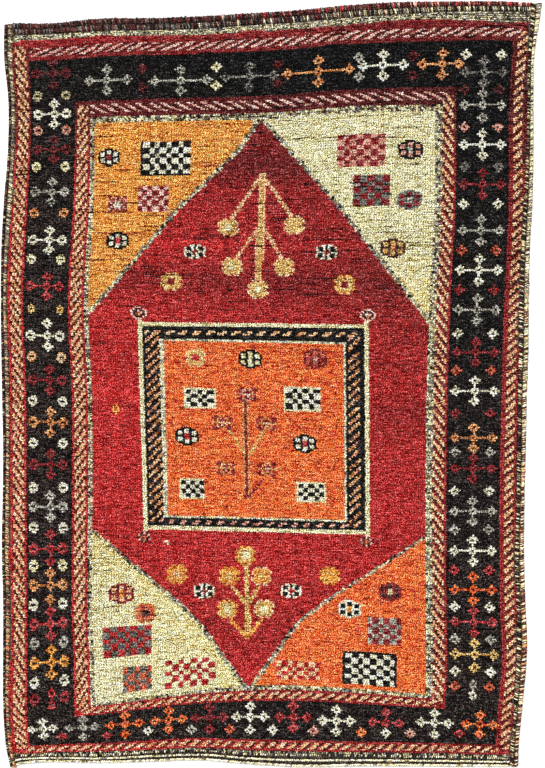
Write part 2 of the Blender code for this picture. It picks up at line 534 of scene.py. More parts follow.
upper = ROW < MIDDLE_ROW
on_left = COLUMN < MIDDLE_COLUMN
chart.lay(FIELD & upper & on_left, "gold")
chart.lay(FIELD & upper & ~on_left, "cream")
chart.lay(FIELD & ~upper & on_left, "cream")
chart.lay(FIELD & ~upper & ~on_left, "orange")
nearness = np.exp(-np.clip(LEFT_EDGE - COLUMN, 0.0, 60.0) / WARM_REACH)
warm_upper = np.clip((ROW - WARM_START) / WARM_LENGTH, 0.0, WARM_MOST)
warm_share = np.where(upper, warm_upper, WARM_STRENGTH * nearness)
is_warm = dice.random(COLUMN.shape) < warm_share
chart.lay(FIELD & chart.holds("cream") & is_warm, "butter")
WITH_LINE = FIELD & (COLUMN > LEFT_EDGE - LINE_HALF) & (COLUMN < RIGHT_EDGE + LINE_HALF)
chart.mix(WITH_LINE, cream=0.24, grey=0.22, ash=0.22, olive=0.22, black=0.10)
inner_part = FIELD & (COLUMN > LEFT_EDGE + LINE_HALF) & (COLUMN < RIGHT_EDGE - LINE_HALF)
chart.lay(inner_part, "red")
print(int(inner_part.sum()), "knots of the medallion")

# %% [markdown]
# ## The square
#
# A cream line frames a black band with slanting tan dashes, a pale line closes
# it, and the orange heart lies inside. Each is a block laid over the last.

# %% Frame and heart of the square
SQUARE = chart.block(57.4, 156.0, 127.5, 217.4)
SIDE_DASHES = ((chart.block(60.4, 65.6, 131.0, 213.0), -1.0),
               (chart.block(147.0, 152.4, 131.0, 213.5), -0.9))  # band and slope
TOP_DASHES = chart.block(62, 151, 130.6, 132.6) & stripe(ROW, -1.6, 5.6, 2.6, True)
BOTTOM_DASHES = chart.block(64, 150, 212.4, 214.4) & stripe(ROW, -1.3, 5.4, 2.3, True)

chart.lay(SQUARE, "cream")
chart.lay(chart.block(59.2, 153.9, 129.2, 215.4), "black")
chart.mix(chart.block(66.4, 145.8, 133.9, 211.8), cream=0.5, white=0.2, grey=0.3)
chart.lay(chart.block(67.6, 144.6, 135.0, 211.2), "orange")
for band, slope in SIDE_DASHES:
    dashes = band & stripe(ROW, slope, 3.9, 1.8, False)
    chart.mix(dashes, tan=0.45, pink=0.15, peach=0.25, brown=0.15)
chart.lay(TOP_DASHES, "peach")
chart.lay(BOTTOM_DASHES, "pink")
print(int(SQUARE.sum()), "knots of the square")

# %% [markdown]
# ## Rosettes, checks and plants
#
# The fields carry rosettes with six petals, small chequered blocks and three
# flowering plants. Each kind of flower is charted once and laid in different
# wools. In the charts o is the outline, p a petal and e the eye.

# %% Charted repeats
ROSETTE = (
    "...oooo...",
    ".oooppooo.",
    "oppoppoppo",
    "oppoeeoppo",
    "ooooeeoooo",
    "oppoeeoppo",
    "oppoppoppo",
    ".oooppooo.",
    "...oooo...",
)
SMALL_ROSETTE = (
    "..oopoo..",
    "oppopoppo",
    "oppoeoppo",
    "oooeeeooo",
    "oppoeoppo",
    "oppopoppo",
    "..oopoo..",
)
BLOSSOM = (
    "..oo.oo..",
    ".opppppo.",
    "opppppppo",
    "oppeeeppo",
    ".opeeepo.",
    "oppeeeppo",
    "opppppppo",
    ".opppppo.",
    "..oo.oo..",
)
TREE_FLOWER = (
    ".pp.o.pp.",
    "ppoopoopp",
    ".poppp.p.",
    "oooeeeooo",
    ".p.pep.p.",
    "ppoopoopp",
    ".pp.o.pp.",
)
PATCHED = (
    "pp.ppp.pp",
    "popopopop",
    "oppopoppo",
    "popeeepop",
    "ppeoeoepp",
    "popeeepop",
    "oppopoppo",
    "pp.ppp.pp",
)
CORNER_FLOWER = (
    "..ppp..",
    ".pooop.",
    "poopoop",
    "popepop",
    "pooeoop",
    ".pooop.",
    "..ppp..",
)
CORNER_BUD = (
    ".opo.",
    "poeop",
    "oeeeo",
    "poeop",
    ".opo.",
)
MOTIFS = (
    # repeat, column, row, outline, petals, eye
    (ROSETTE, 44.0, 53.0, "black", "white", "wine"),
    (PATCHED, 47.5, 74.5, "pink", "wine", "white"),
    (ROSETTE, 48.3, 91.0, "black", "white", "red"),
    (ROSETTE, 172.0, 52.5, "black", "pink", "grey"),
    (ROSETTE, 171.7, 73.3, "ash", "wine", "grey"),
    (ROSETTE, 165.0, 93.0, "brown", "straw", "tan"),
    (SMALL_ROSETTE, 81.0, 95.3, "white", "black", "wine"),
    (SMALL_ROSETTE, 137.0, 94.7, "white", "black", "red"),
    (ROSETTE, 105.3, 141.6, "black", "cream", "cream"),
    (ROSETTE, 133.8, 141.0, "wine", "rust", "pink"),
    (ROSETTE, 77.5, 176.0, "black", "white", "red"),
    (ROSETTE, 128.6, 178.0, "black", "white", "red"),
    (SMALL_ROSETTE, 83.5, 243.0, "white", "black", "wine"),
    (SMALL_ROSETTE, 121.5, 243.0, "white", "black", "red"),
    (ROSETTE, 48.2, 242.8, "wine", "peach", "gold"),
    (ROSETTE, 148.0, 250.0, "white", "black", "gold"),
    (ROSETTE, 165.7, 242.0, "wine", "brown", "cream"),
    (BLOSSOM, 71.6, 109.0, "straw", "straw", "wine"),
    (BLOSSOM, 145.3, 108.8, "gold", "straw", "wine"),
    (BLOSSOM, 95.7, 84.0, "peach", "straw", "cream"),
    (BLOSSOM, 123.0, 83.5, "peach", "straw", "straw"),
    (BLOSSOM, 97.7, 101.8, "peach", "straw", "cream"),
    (BLOSSOM, 119.3, 101.5, "peach", "straw", "straw"),
    (BLOSSOM, 108.6, 111.5, "peach", "straw", "cream"),
    (BLOSSOM, 81.8, 142.0, "peach", "straw", "red"),
    (BLOSSOM, 101.3, 227.7, "gold", "straw", "cream"),
    (BLOSSOM, 71.6, 235.2, "gold", "gold", "peach"),
    (BLOSSOM, 94.3, 236.2, "gold", "gold", "straw"),
    (BLOSSOM, 108.6, 236.2, "peach", "gold", "straw"),
    (BLOSSOM, 138.8, 235.6, "gold", "gold", "gold"),
    (BLOSSOM, 93.8, 251.0, "gold", "straw", "cream"),
    (BLOSSOM, 109.5, 251.0, "peach", "straw", "cream"),
    (BLOSSOM, 57.0, 250.8, "tan", "rust", "brown"),
    (TREE_FLOWER, 103.0, 157.3, "pink", "wine", "blush"),
    (TREE_FLOWER, 92.4, 169.4, "tan", "wine", "peach"),
    (TREE_FLOWER, 112.0, 169.4, "tan", "wine", "peach"),
    (TREE_FLOWER, 93.4, 189.2, "tan", "wine", "peach"),
    (TREE_FLOWER, 111.6, 189.2, "tan", "wine", "peach"),
    (CORNER_FLOWER, 57.7, 123.4, "umber", "blush", "tan"),
    (CORNER_FLOWER, 156.0, 121.8, "umber", "blush", "tan"),
    (CORNER_BUD, 57.6, 220.4, "umber", "blush", "rust"),
    (CORNER_BUD, 154.7, 220.6, "umber", "blush", "rust"),
)
CHECKS = (
    # left, right, top, bottom, squares across and down, wools, rim
    (59.2, 78.6, 46.4, 60.8, 8, 6, "white", "black", "black"),
    (56.6, 70.2, 65.6, 77.2, 6, 5, "wine", "blush", None),
    (140.6, 161.0, 45.6, 59.4, 7, 6, "wine", "pink", None),
    (148.4, 163.2, 63.2, 75.4, 5, 5, "wine", "ash", None),
    (77.0, 88.8, 155.4, 163.0, 5, 4, "black", "white", "cream"),
    (120.2, 134.6, 154.0, 163.0, 6, 4, "white", "black", "cream"),
    (73.8, 83.6, 195.0, 202.4, 5, 4, "black", "white", "cream"),
    (124.8, 136.0, 195.4, 202.8, 5, 4, "black", "white", "cream"),
    (40.2, 59.6, 255.4, 267.2, 7, 5, "guard_red", "ash", None),
    (47.8, 60.4, 272.2, 281.8, 5, 4, "rust", "ash", None),
    (66.2, 87.6, 270.8, 282.4, 8, 5, "guard_red", "cream", None),
    (154.6, 170.4, 253.2, 264.8, 6, 5, "grey", "wine", None),
    (145.0, 167.4, 269.0, 282.4, 8, 6, "white", "black", "black"),
    (114.6, 134.4, 274.2, 282.0, 8, 4, "peach", "red", None),
)
STEMS = (
    # start, end, thickness, wool
    ((109.4, 60.5), (108.8, 107.0), 3.2, "peach"),
    ((109.4, 60.5), (108.8, 107.0), 1.4, "straw"),
    ((108.6, 62.5), (96.8, 80.5), 1.5, "peach"),
    ((110.4, 62.5), (122.2, 79.5), 1.5, "peach"),
    ((108.6, 84.0), (98.6, 98.5), 1.5, "peach"),
    ((110.4, 84.0), (118.6, 98.0), 1.5, "peach"),
    ((101.9, 232.0), (102.2, 263.0), 2.8, "straw"),
    ((101.5, 248.5), (95.5, 241.0), 1.6, "straw"),
    ((102.8, 248.5), (107.8, 240.5), 1.6, "straw"),
    ((101.8, 263.0), (95.0, 255.5), 1.7, "gold"),
    ((102.6, 263.0), (108.6, 255.5), 1.7, "gold"),
    ((102.7, 160.0), (102.7, 201.0), 2.8, "tan"),
    ((102.5, 160.0), (102.5, 201.0), 1.0, "wine"),
    ((102.0, 183.0), (95.5, 173.5), 1.2, "straw"),
    ((104.0, 183.0), (110.0, 173.5), 1.2, "straw"),
    ((104.0, 201.0), (110.0, 193.5), 1.0, "wine"),
    ((101.6, 202.0), (103.8, 202.0), 1.8, "wine"),
    ((58.4, 125.8), (58.4, 128.0), 2.0, "cream"),
    ((155.4, 124.4), (155.4, 128.0), 2.0, "cream"),
    ((58.2, 216.5), (58.2, 218.6), 2.0, "cream"),
    ((154.6, 216.5), (154.8, 219.0), 2.0, "cream"),
)

for start, end, width, wool in STEMS:
    chart.line(start, end, width, wool)
for repeat, column, row, outline, petals, eye in MOTIFS:
    chart.stamp(repeat, column, row, o=outline, p=petals, e=eye)
chart.stamp(BUD, 46.5, 165.6, w="gold")
chart.stamp(("ww", ".w"), 67.5, 223.0, w="white")
for check in CHECKS:
    chart.checks(*check)
print(len(MOTIFS), "charted motifs and", len(CHECKS), "checked blocks")

# %% [markdown]
# ## Uneven dye and painted shade
#
# Weavers call it abrash: each hank took the dye a little differently, so the
# colour drifts from row to row, and single knots are lighter or darker. Here a
# shade for each knot multiplies its wool. It is the product of slow bands,
# short darker streaks along the rows and the scatter of single knots. The red,
# the border and the guards have tables of their own. The red's rows are bands
# of dye, and it is darker on its right-hand side. The border's black, the
# guards and the wine in the border are painted darker towards the top and the
# right, a painted shade where the light is weaker. The slants of the guards are
# laid here too, on the two stubs of every knot.

# %% Shade of every knot
RED_BANDS = (
    # chart row, shade of the medallion on the left, on the right
    (37, 0.50, 0.45), (55, 0.45, 0.25), (62, 0.50, 0.25), (68, 0.85, 0.45), (86, 0.85, 0.50),
    (92, 1.15, 0.55), (100, 0.85, 0.45), (108, 0.60, 0.35), (124, 0.95, 0.60), (150, 0.90, 0.75),
    (157, 1.10, 0.70), (165, 0.95, 0.55), (180, 0.95, 0.80), (215, 0.90, 0.80), (230, 0.90, 0.90),
    (256, 0.70, 0.75), (285, 0.90, 0.75),
)
BLACK_BANDS = (
    # chart column, painted shade of the border's black at the top, at the bottom
    (0, 0.34, 0.92), (60, 0.24, 0.86), (110, 0.14, 0.72), (190, 0.07, 0.78), (224, 0.07, 0.90),
)
# chart row, painted shade of the guards, and of the wine in the border
GUARD_BANDS = ((0, 0.72), (8, 0.58), (26, 0.36), (34, 0.36), (60, 0.88), (110, 1.00))
GUARD_LEFT, GUARD_FALL = 1.15, 0.45  # painted shade of the guards at the left, and its fall to the right
SLANT_SHADOW = 1.3  # how much wider than a slant its dark edge is
BAND_STRENGTH, BAND_ROWS = 0.05, 2.6
STREAK_STRENGTH, STREAK_START, STREAK_MOST, STREAK_LENGTH = 0.22, 0.7, 1.2, 9.0
KNOT_SCATTER, STUB_SCATTER = 0.06, 0.03
WOOL_SHADE = 0.91


def smooth_noise(along, size, seed):
    """Random values at every whole step, joined smoothly."""
    values = np.random.default_rng(seed).normal(size=size)
    place = np.clip(along, 0, size - 1.001)
    k = place.astype(int)
    t = place - k
    t = t * t * (3 - 2 * t)
    return values[k] * (1 - t) + values[k + 1] * t


def row_noise(number, length, seed):
    """Smooth noise along one row, with a new value every so many knots."""
    along = (COLUMN[number] + 3) / length
    return smooth_noise(along, int(along[-1]) + 2, seed)


def blend(table, at, share):
    """Shade from the two columns of a table, mixed by a share from 0 to 1."""
    places, first, second = np.array(table).T
    return np.interp(at, places, first) * (1 - share) + np.interp(at, places, second) * share


to_the_right = np.clip((COLUMN - 36.0) / 145.0, 0.0, 1.0)
downwards = np.clip((ROW - 10.0) / (60.0 + 0.85 * COLUMN), 0.0, 1.0)
shade = np.ones(COLUMN.shape)
shade = np.where(chart.holds("red"), blend(RED_BANDS, ROW, to_the_right), shade)
# Painted shade: the border's black is darker towards the top and the right.
shade = np.where(chart.holds("charcoal"), blend(BLACK_BANDS, COLUMN, downwards), shade)
shade *= 1 + BAND_STRENGTH * smooth_noise((ROW + 5) / BAND_ROWS, 140, 3)
for number in range(len(ROW)):
    streak = row_noise(number, STREAK_LENGTH, 5000 + number)
    shade[number] *= 1 - STREAK_STRENGTH * np.clip(streak - STREAK_START, 0.0, STREAK_MOST)
shade *= np.exp(dice.normal(0.0, KNOT_SCATTER, COLUMN.shape))

stub_wool = np.stack([chart.wool, chart.wool])  # the upper and the lower stub of each knot
for half, row in enumerate((ROW - KNOT_ROW / 4, ROW + KNOT_ROW / 4)):
    for left, right, top, bottom, margin, slope, period, width, across, wool in GUARDS:
        band = chart.block(left + margin, right - margin, top, bottom)
        stub_wool[half][band] = WOOL_NUMBER["guard_red"]
        for name, wide in (("umber", width + SLANT_SHADOW), (wool, width)):
            where = band & stripe(row, slope, period, wide, across)
            stub_wool[half][where] = WOOL_NUMBER[name]

# Painted shade: the guards and the wine in the border are darker towards the top and the right,
# where the light is weaker.
border_painted_shade = np.interp(ROW, *np.array(GUARD_BANDS).T)
guard_painted_shade = (GUARD_LEFT - GUARD_FALL * COLUMN / 220.0) * border_painted_shade
is_guard = stub_wool == WOOL_NUMBER["guard_red"]
is_border_wine = (stub_wool == WOOL_NUMBER["wine"]) & ~FIELD
stub_shade = shade * np.where(is_guard, guard_painted_shade, 1.0)
stub_shade *= np.where(is_border_wine, border_painted_shade, 1.0)
stub_colour = WOOL_SHADE * WOOL_COLOURS[stub_wool] * stub_shade[..., None]
stub_colour *= np.exp(dice.normal(0.0, STUB_SCATTER, stub_colour.shape))
stub_colour = np.clip(stub_colour, 0.002, 0.95)
print("mean shade", round(float(shade.mean()), 3))

# %% [markdown]
# ## Instancing
#
# Tens of thousands of equal things are best made once. Each place is a loose
# vertex that carries its own turn, size and colour, and a small node group
# stands the one shape on all of them. The result is made real and kept as a
# plain mesh, so it can be lit, measured and handed on like any other.

# %% Stand one shape on many places
def stand_on_places():
    """Node group: one object on every vertex, turned and sized by attributes."""
    group = bpy.data.node_groups.new("stand_on_places", "GeometryNodeTree")
    group.interface.new_socket("Geometry", in_out="INPUT", socket_type="NodeSocketGeometry")
    group.interface.new_socket("Shape", in_out="INPUT", socket_type="NodeSocketObject")
    group.interface.new_socket("Geometry", in_out="OUTPUT", socket_type="NodeSocketGeometry")

    def add(kind, **settings):
        node = group.nodes.new(kind)
        for name, value in settings.items():
            setattr(node, name, value)
        return node

    start, end = add("NodeGroupInput"), add("NodeGroupOutput")
    shape = add("GeometryNodeObjectInfo", transform_space="ORIGINAL")
    turn = add("GeometryNodeInputNamedAttribute", data_type="FLOAT_VECTOR")
    grow = add("GeometryNodeInputNamedAttribute", data_type="FLOAT_VECTOR")
    turn.inputs["Name"].default_value = "turn"
    grow.inputs["Name"].default_value = "grow"
    angle = add("FunctionNodeEulerToRotation")
    place = add("GeometryNodeInstanceOnPoints")
    real = add("GeometryNodeRealizeInstances")
    links = group.links
    links.new(start.outputs["Shape"], shape.inputs["Object"])
    links.new(start.outputs["Geometry"], place.inputs["Points"])
    links.new(shape.outputs["Geometry"], place.inputs["Instance"])
    links.new(turn.outputs["Attribute"], angle.inputs["Euler"])
    links.new(angle.outputs["Rotation"], place.inputs["Rotation"])
    links.new(grow.outputs["Attribute"], place.inputs["Scale"])
    links.new(place.outputs["Instances"], real.inputs["Geometry"])
    links.new(real.outputs["Geometry"], end.inputs["Geometry"])
    return group


STAND = stand_on_places()


def new_object(name, mesh):
    thing = bpy.data.objects.new(name, mesh)
    bpy.context.scene.collection.objects.link(thing)
    return thing


def mesh_from(shape, name):
    mesh = bpy.data.meshes.new(name)
    shape.to_mesh(mesh)
    shape.free()
    return mesh


def stand(name, unit, look, place, turn, grow, colour, **more):
    """A piece made of one unit shape at many places, its mesh real."""
    points = bpy.data.meshes.new(name + "_places")
    points.vertices.add(len(place))
    points.vertices.foreach_set("co", np.asarray(place, float).ravel())
    for title, values in {"turn": turn, "grow": grow, **more}.items():
        layer = points.attributes.new(title, "FLOAT_VECTOR", "POINT")
        layer.data.foreach_set("vector", np.asarray(values, float).ravel())
    tint = points.attributes.new("wool_colour", "FLOAT_COLOR", "POINT")
    tint.data.foreach_set("color", np.c_[colour, np.ones(len(place))].ravel())
    holder = new_object(name + "_holder", points)
    modifier = holder.modifiers.new("stand", "NODES")
    modifier.node_group = STAND
    shape_input = STAND.interface.items_tree["Shape"].identifier
    modifier[shape_input] = unit
    graph = bpy.context.evaluated_depsgraph_get()
    mesh = bpy.data.meshes.new_from_object(holder.evaluated_get(graph))
    mesh.name = name
    bpy.data.objects.remove(holder, do_unlink=True)
    bpy.data.meshes.remove(points)
    for title in ("turn", "grow"):
        mesh.attributes.remove(mesh.attributes[title])
    mesh.materials.clear()
    mesh.materials.append(look)
    mesh.shade_smooth()
    return new_object(name, mesh)


def lay_map(piece):
    """Spreads the unit's own little map over the piece, one square for each cell."""
    mesh = piece.data
    cells = np.empty(len(mesh.vertices) * 3)
    mesh.attributes["cell"].data.foreach_get("vector", cells)
    cells = cells.reshape(-1, 3)[:, :2]
    corners = np.empty(len(mesh.loops), int)
    mesh.loops.foreach_get("vertex_index", corners)
    layer = mesh.uv_layers["OFBake"]
    unit = np.empty(len(mesh.loops) * 2)
    layer.uv.foreach_get("vector", unit)
    unit = unit.reshape(-1, 2)
    low = cells.min(axis=0)
    size = cells.max(axis=0) - low + 1.0
    layer.uv.foreach_set("vector", ((cells[corners] - low + unit) / size).ravel())
    mesh.attributes.remove(mesh.attributes["cell"])


print("node group ready:", STAND.name)

# %% [markdown]
# ## The looks of wool
#
# Wool is matt, so the surface is rough with hardly any gloss. Its colour comes
# from the piece's own colour attribute. Two noises, one drawn out along the
# rows, break it into fibres, partly the wool's own speckle and partly painted
# light: a pale fibre is a painted highlight, whiter as if it caught the light,
# and a dark one is painted shade in a gap. The foot of the pile is painted
# darker, a painted shade, since little light gets down there.

# %% Shader expressions and the wool look
class Wire:
    """A shader socket that Python's + - and * can join to others."""

    def __init__(self, look, socket):
        self.look, self.socket = look, socket

    def reckon(self, operation, first, second):
        return self.look.node("ShaderNodeMath", {"operation": operation}, {0: first, 1: second})

    def __add__(self, other):
        return self.reckon("ADD", self, other)

    def __sub__(self, other):
        return self.reckon("SUBTRACT", self, other)

    def __mul__(self, other):
        return self.reckon("MULTIPLY", self, other)


class Look:
    """A material under way, with one method that adds any node."""

    def __init__(self, name, **plain):
        self.material = bpy.data.materials.new(name)
        self.material.use_nodes = True
        self.tree = self.material.node_tree
        self.shader = self.tree.nodes["Principled BSDF"]
        for title, value in plain.items():
            self.shader.inputs[title.replace("_", " ").title()].default_value = value

    def node(self, kind, settings=None, sockets=None, output=0):
        made = self.tree.nodes.new(kind)
        for title, value in (settings or {}).items():
            setattr(made, title, value)
        for title, value in (sockets or {}).items():
            if isinstance(value, Wire):
                self.tree.links.new(value.socket, made.inputs[title])
            else:
                made.inputs[title].default_value = value
        return Wire(self, made.outputs[output])

    def feed(self, title, wire):
        self.tree.links.new(wire.socket, self.shader.inputs[title])


FIBRE_SCALE, FIBRE_DEPTH = 520.0, 10.5
DASH_SCALE, DASH_DEPTH = 0.85 * FIBRE_SCALE, 4.2
COLOUR_SHARE, PAINTED_HIGHLIGHT_SHARE = 0.5, 0.15  # how far fibres change the wool's own colour, and whiten it as a painted highlight
WOOL_ROUGHNESS = 0.95


def wool_look(name, foot, tip, foot_shade):
    """Matt wool in the colours of the piece, painted darker from tip to foot as painted shade, with
    painted highlights on pale fibres.
    """
    look = Look(name, roughness=WOOL_ROUGHNESS)
    look.shader.inputs["Specular IOR Level"].default_value = 0.03
    colour = look.node("ShaderNodeAttribute", {"attribute_name": "wool_colour"}, output="Color")
    place = look.node("ShaderNodeTexCoord", output="Object")
    height = look.node("ShaderNodeSeparateXYZ", None, {"Vector": place}, "Z")
    # Painted shade: the colour darkens from the tip down to the foot.
    rise = look.node(
        "ShaderNodeMapRange", {"clamp": True},
        {"Value": height, "From Min": foot, "From Max": tip, "To Min": foot_shade, "To Max": 1.0},
    )

    def threads(stretch, scale):
        """Noise about zero, drawn out along the rows."""
        drawn = look.node(
            "ShaderNodeVectorMath", {"operation": "MULTIPLY"}, {0: place, 1: (stretch, 1.0, 0.3)}
        )
        sockets = {"Vector": drawn, "Scale": scale, "Detail": 1.0, "Roughness": 0.5}
        return look.node("ShaderNodeTexNoise", None, sockets, "Fac") - 0.5

    fibres = threads(0.8, FIBRE_SCALE)
    # Painted light and shade over the wool's own speckle: the grain darkens gaps and the dashes
    # where the pile parts along the rows, and adds a pale painted highlight, more on pale wool.
    grain_and_painted_light = fibres * FIBRE_DEPTH + threads(0.10, DASH_SCALE) * DASH_DEPTH
    gloss = look.node("ShaderNodeRGBToBW", None, {"Color": colour}, "Val")
    gloss = look.node("ShaderNodeMath", {"operation": "POWER"}, {0: gloss, 1: 0.4})
    tinted = look.node(
        "ShaderNodeVectorMath", {"operation": "MULTIPLY_ADD"},
        {0: colour, 1: grain_and_painted_light * COLOUR_SHARE + 1.0, 2: grain_and_painted_light * gloss * PAINTED_HIGHLIGHT_SHARE},
    )
    for limit, bound in (("MAXIMUM", 0.002), ("MINIMUM", 0.97)):
        tinted = look.node(
            "ShaderNodeVectorMath", {"operation": limit}, {0: tinted, 1: (bound, bound, bound)}
        )
    tinted = look.node(
        "ShaderNodeVectorMath", {"operation": "SCALE"}, {"Vector": tinted, "Scale": rise}
    )
    look.feed("Base Color", tinted)
    bump = look.node(
        "ShaderNodeBump", None, {"Height": fibres, "Strength": 0.35, "Distance": 0.001}, "Normal"
    )
    look.feed("Normal", bump)
    return look.material


PILE_LOOK = wool_look("pile_wool", 0.0030, 0.0085, 0.50)
YARN_LOOK = wool_look("edge_yarn", 0.0000, 0.0070, 0.35)
print("looks:", PILE_LOOK.name, YARN_LOOK.name)

# %% [markdown]
# ## The pile
#
# Every knot is two loops of yarn cut to stubs that lean on one another. From
# above only their tips show, packed side by side with a little dark between.
# One stub is a four-sided cone, wide at the foot, and two of them stand on each
# knot. Each is sized, turned and leaned a little differently. The cone's small
# map keeps a square of its own for every stub when the colours are baked.

# %% One tuft, and the pieces of the pile
GROUND_TOP = 0.0030
PILE_TOP = 0.0100
KNOT_WIDTH = 0.00527

shape = bmesh.new()
bmesh.ops.create_cone(
    shape, cap_ends=False, segments=4, radius1=0.5 * math.sqrt(2), radius2=0.0, depth=1.0
)
bmesh.ops.translate(shape, verts=shape.verts, vec=(0, 0, 0.5))
bmesh.ops.rotate(shape, verts=shape.verts, matrix=Matrix.Rotation(math.radians(45), 3, "Z"))
unit_map = shape.loops.layers.uv.new("OFBake")
for face in shape.faces:
    for corner in face.loops:
        corner[unit_map].uv = (corner.vert.co.x + 0.5, corner.vert.co.y + 0.5)
tuft = new_object("tuft_unit", mesh_from(shape, "tuft_unit"))

EDGE_OVERLAP = 0.0006
ON_PILE = (
    (KNOT_X > side_x("left_inner", KNOT_Y) + EDGE_OVERLAP)
    & (KNOT_X < side_x("right_inner", KNOT_Y) - EDGE_OVERLAP)
    & (KNOT_Y > end_y("bottom_pile", KNOT_X) + EDGE_OVERLAP)
    & (KNOT_Y < end_y("top_pile", KNOT_X) - EDGE_OVERLAP)
)
RED_PART = WITH_LINE & ~SQUARE
CORNER = FIELD & ~RED_PART & ~SQUARE
SIDES = ~FIELD & (ROW >= FIELD_TOP) & (ROW < FIELD_BOTTOM)
MEDALLION_TOP, MEDALLION_BOTTOM = 125.0, 218.0
FLANKS = RED_PART & (ROW >= MEDALLION_TOP) & (ROW < MEDALLION_BOTTOM)
PILE_PIECES = {
    "pile_border_top": ~FIELD & (ROW < FIELD_TOP),
    "pile_border_left": SIDES & on_left,
    "pile_border_right": SIDES & ~on_left,
    "pile_border_bottom": ~FIELD & (ROW >= FIELD_BOTTOM),
    "pile_corner_gold": CORNER & upper & on_left,
    "pile_corner_cream_top": CORNER & upper & ~on_left,
    "pile_corner_cream_bottom": CORNER & ~upper & on_left,
    "pile_corner_orange": CORNER & ~upper & ~on_left,
    "pile_medallion_top": RED_PART & (ROW < MEDALLION_TOP),
    "pile_medallion_left": FLANKS & on_left,
    "pile_medallion_right": FLANKS & ~on_left,
    "pile_medallion_bottom": RED_PART & (ROW >= MEDALLION_BOTTOM),
    "pile_square": SQUARE,
}

WAVE_HEIGHT, WAVE_LENGTH = 0.0005, 6.0  # metres, knots
TONE_LENGTH, CREASE_SHADE_LENGTH, SHIFT_LENGTH = 1.7, 11.0, 14.0  # knots
# Creases: thin dark lines along half rows, painted shade taken off the half row's tone.
CREASE_SHADE_START, CREASE_SHADE_MOST = 1.05, 0.8
CREASE_SHADE_ROWS, CREASE_SHADE_DEPTHS = (110.0, 165.0), (8.5, 3.5)  # painted shade of the creases, deeper at the top

row_wave = np.zeros(COLUMN.shape)
half_row_tone, half_row_shift = np.zeros((2, 2, *COLUMN.shape))
for number in range(len(ROW)):
    row_wave[number] = WAVE_HEIGHT * row_noise(number, WAVE_LENGTH, 9000 + number)
    crease_shade_depth = np.interp(ROW[number, 0], CREASE_SHADE_ROWS, CREASE_SHADE_DEPTHS)
    for half in (0, 1):
        seed = 20000 + 2 * number + half
        crease_shade = row_noise(number, CREASE_SHADE_LENGTH, seed + 4000)
        crease_shade = crease_shade_depth * np.clip(crease_shade - CREASE_SHADE_START, 0.0, CREASE_SHADE_MOST)
        half_row_tone[half, number] = row_noise(number, TONE_LENGTH, seed) - crease_shade
        half_row_shift[half, number] = row_noise(number, SHIFT_LENGTH, seed + 9000)

TUFT_WIDTH, TUFT_DEPTH = 1.15, 0.80  # in knots and in rows, so that neighbours overlap
STUB_APART = 0.25  # how far each stub stands up or down its row, in rows
SIDE_SHIFT, SHIFT_MOST = 0.22, 1.3  # sideways shift of half rows, in knots
SCATTER_X, SCATTER_Y = 0.00045, 0.00022  # metres
SWELL, HEIGHT_SCATTER, SIZE_SCATTER = 0.06, 0.07, 0.10
LEAN, LEAN_SCATTER, TURN_SCATTER = 0.06, 0.10, 0.14  # radians
STUB_TONE, ROW_TONE = 0.70, 0.38
# the depth of each stub's tone, and the pale painted highlight that a bright tone adds
TONE_DEPTH, TONE_PAINTED_HIGHLIGHT = 0.22, 0.080


def swell(x, y):
    """Slow rise and fall of the cloth, from -1 to 1."""
    return 0.5 * np.sin(7.3 * x + 3.1 * y + 0.6) + 0.5 * np.sin(-4.1 * x + 9.7 * y + 2.0)


def stubs(pair, where):
    """Values of the upper and the lower stub of every knot, one after the other."""
    return np.stack([pair[half][where] for half in (0, 1)], 1)


def knots(name, inside):
    """One piece of the pile."""
    where = inside & ON_PILE
    count = 2 * int(where.sum())
    end = np.tile((1.0, -1.0), count // 2)
    shift = np.clip(stubs(half_row_shift, where).ravel(), -SHIFT_MOST, SHIFT_MOST)
    x = np.repeat(KNOT_X[where], 2) + SIDE_SHIFT * shift * KNOT_WIDTH
    x += dice.normal(0, SCATTER_X, count)
    y = np.repeat((KNOT_Y + row_wave)[where], 2) + STUB_APART * end * KNOT_WIDTH * KNOT_ROW
    y += dice.normal(0, SCATTER_Y, count)
    high = 1 + SWELL * swell(x, y) + dice.normal(0, HEIGHT_SCATTER, count)
    wide = TUFT_WIDTH * (1 + dice.normal(0, SIZE_SCATTER, count))
    deep = TUFT_DEPTH * KNOT_ROW * (1 + dice.normal(0, SIZE_SCATTER, count))
    grow = np.c_[wide * KNOT_WIDTH, deep * KNOT_WIDTH, high * (PILE_TOP - GROUND_TOP)]
    spreads = (LEAN_SCATTER, LEAN_SCATTER, TURN_SCATTER)
    turn = np.stack([dice.normal(0, spread, count) for spread in spreads], 1)
    turn[:, 0] += LEAN
    cell_x, cell_y = COLUMN[where] + 2.5, -2 * np.round((ROW[where] - ROW[0, 0]) / KNOT_ROW)
    cell = np.c_[np.repeat(cell_x, 2), np.repeat(cell_y, 2) + (end > 0), np.zeros(count)]
    # Each stub's random tone darkens or lightens its wool, with the painted shade of the creases; a
    # bright tone also adds a pale painted highlight, more on pale wool.
    tone = STUB_TONE * dice.normal(0, 1, count) + ROW_TONE * stubs(half_row_tone, where).ravel()
    colour = stubs(stub_colour, where).reshape(-1, 3)
    gloss = (colour @ (0.21, 0.72, 0.07)) ** 0.3
    colour = colour * (1 + TONE_DEPTH * tone[:, None]) + (TONE_PAINTED_HIGHLIGHT * gloss * tone)[:, None]
    colour = np.clip(colour, 0.002, 0.97)
    place = np.c_[x, y, np.full(count, GROUND_TOP)]
    piece = stand(name, tuft, PILE_LOOK, place, turn, grow, colour, cell=cell)
    lay_map(piece)
    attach(piece, "root")
    return piece


